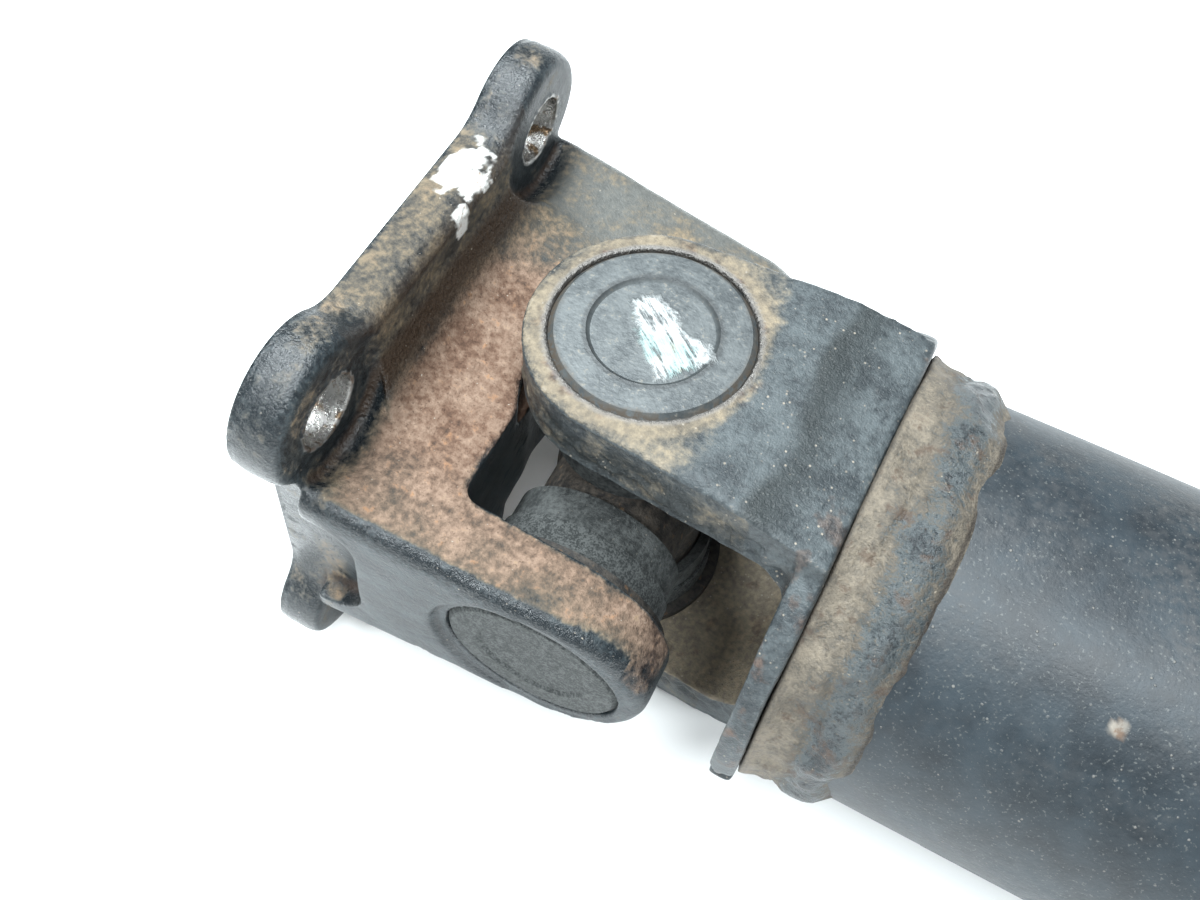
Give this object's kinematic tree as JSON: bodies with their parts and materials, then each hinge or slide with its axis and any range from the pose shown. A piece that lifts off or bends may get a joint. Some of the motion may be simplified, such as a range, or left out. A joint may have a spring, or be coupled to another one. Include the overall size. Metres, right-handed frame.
{
  "type": "universal joint shaft",
  "caption": "Welded tubular drive shaft with a universal joint and a bolted flange at each end and a splined slip joint; shown bent at one joint.",
  "frame": {"origin": "centre of flange B's mating face, at the slip end", "axes": "+X along the shaft, out of flange B; joint A and its flange are at -X; +Z along the trunnions held by the two shaft-side yokes; rest is the bent pose of joint A, tilted 7.3 degrees and swung 1.9 degrees"},
  "size_m": [0.4419, 0.0861, 0.0899],
  "materials": {
    "rusty_forging": "worn blue-black paint over red-brown rust",
    "painted_forging": "charcoal paint with tan dust and rust at the edges",
    "black_paint": "semi-gloss black paint with dust specks",
    "weld_metal": "painted weld bead, rust breaking through",
    "bearing_steel": "ground steel with a film of grease",
    "cup_steel": "dull dark steel with dust",
    "spring_steel": "dark spring steel",
    "seal_rubber": "matt black rubber with dust",
    "washer_plastic": "natural plastic",
    "pressed_steel": "painted pressed steel",
    "seal_felt": "oily felt",
    "nipple_steel": "plated steel, dusty"
  },
  "bodies": {
    "tube_shaft": {"tube_yoke": "painted_forging", "tube": "black_paint", "front_weld": "weld_metal", "rear_weld": "weld_metal", "spline_stub": "black_paint", "balance_weight_front": "black_paint", "balance_weight_rear": "black_paint", "cup_a_top": "cup_steel", "seal_a_top": "seal_rubber", "washer_a_top": "washer_plastic", "clip_a_top": "spring_steel", "cup_a_bottom": "cup_steel", "seal_a_bottom": "seal_rubber", "washer_a_bottom": "washer_plastic", "clip_a_bottom": "spring_steel"},
    "cross_a": {"cross_a": "bearing_steel"},
    "flange_a": {"flange_yoke_a": "rusty_forging", "cup_a_left": "cup_steel", "seal_a_left": "seal_rubber", "washer_a_left": "washer_plastic", "clip_a_left": "spring_steel", "cup_a_right": "cup_steel", "seal_a_right": "seal_rubber", "washer_a_right": "washer_plastic", "clip_a_right": "spring_steel"},
    "rollers_a_upright": {"needles_a_top": "bearing_steel", "needles_a_bottom": "bearing_steel"},
    "rollers_a_level": {"needles_a_left": "bearing_steel", "needles_a_right": "bearing_steel"},
    "slip_end": {"slip_yoke": "painted_forging", "dust_cap": "pressed_steel", "slip_seal": "seal_felt", "end_plug": "pressed_steel", "grease_nipple": "nipple_steel", "cup_b_top": "cup_steel", "seal_b_top": "seal_rubber", "washer_b_top": "washer_plastic", "clip_b_top": "spring_steel", "cup_b_bottom": "cup_steel", "seal_b_bottom": "seal_rubber", "washer_b_bottom": "washer_plastic", "clip_b_bottom": "spring_steel"},
    "cross_b": {"cross_b": "bearing_steel"},
    "flange_b": {"flange_yoke_b": "rusty_forging", "cup_b_left": "cup_steel", "seal_b_left": "seal_rubber", "washer_b_left": "washer_plastic", "clip_b_left": "spring_steel", "cup_b_right": "cup_steel", "seal_b_right": "seal_rubber", "washer_b_right": "washer_plastic", "clip_b_right": "spring_steel"},
    "rollers_b_upright": {"needles_b_top": "bearing_steel", "needles_b_bottom": "bearing_steel"},
    "rollers_b_level": {"needles_b_left": "bearing_steel", "needles_b_right": "bearing_steel"}
  },
  "joints": [
    {"name": "swing_a", "type": "hinge", "parent": "tube_shaft", "child": "cross_a", "pos_m": [-0.3905, 0, 0], "axis": [0, 0, 1], "range_deg": [-21.9, 18.1]},
    {"name": "tilt_a", "type": "hinge", "parent": "cross_a", "child": "flange_a", "pos_m": [-0.3905, 0, 0], "axis": [-0.0332, 0.9995, 0], "range_deg": [-23.3, 8.7]},
    {"name": "rollers_a_upright_roll", "type": "hinge", "parent": "tube_shaft", "child": "rollers_a_upright", "pos_m": [-0.3905, 0, 0], "axis": [0, 0, 1], "range_deg": [-12, 12]},
    {"name": "rollers_a_level_roll", "type": "hinge", "parent": "cross_a", "child": "rollers_a_level", "pos_m": [-0.3905, 0, 0], "axis": [-0.0332, 0.9995, 0], "range_deg": [-15, 15]},
    {"name": "slip", "type": "slide", "parent": "tube_shaft", "child": "slip_end", "axis": [1, 0, 0], "range_m": [-0.012, 0.025]},
    {"name": "swing_b", "type": "hinge", "parent": "slip_end", "child": "cross_b", "pos_m": [-0.0455, 0, 0], "axis": [0, 0, 1], "range_deg": [-20, 20]},
    {"name": "tilt_b", "type": "hinge", "parent": "cross_b", "child": "flange_b", "pos_m": [-0.0455, 0, 0], "axis": [0, 1, 0], "range_deg": [-16, 16]},
    {"name": "rollers_b_upright_roll", "type": "hinge", "parent": "slip_end", "child": "rollers_b_upright", "pos_m": [-0.0455, 0, 0], "axis": [0, 0, 1], "range_deg": [-12, 12]},
    {"name": "rollers_b_level_roll", "type": "hinge", "parent": "cross_b", "child": "rollers_b_level", "pos_m": [-0.0455, 0, 0], "axis": [0, 1, 0], "range_deg": [-15, 15]}
  ],
  "couplings": [
    {"joint": "rollers_a_upright_roll", "follows": "swing_a", "ratio": 0.4352},
    {"joint": "rollers_a_level_roll", "follows": "tilt_a", "ratio": 0.5648},
    {"joint": "rollers_b_upright_roll", "follows": "swing_b", "ratio": 0.4352},
    {"joint": "rollers_b_level_roll", "follows": "tilt_b", "ratio": 0.5648}
  ]
}
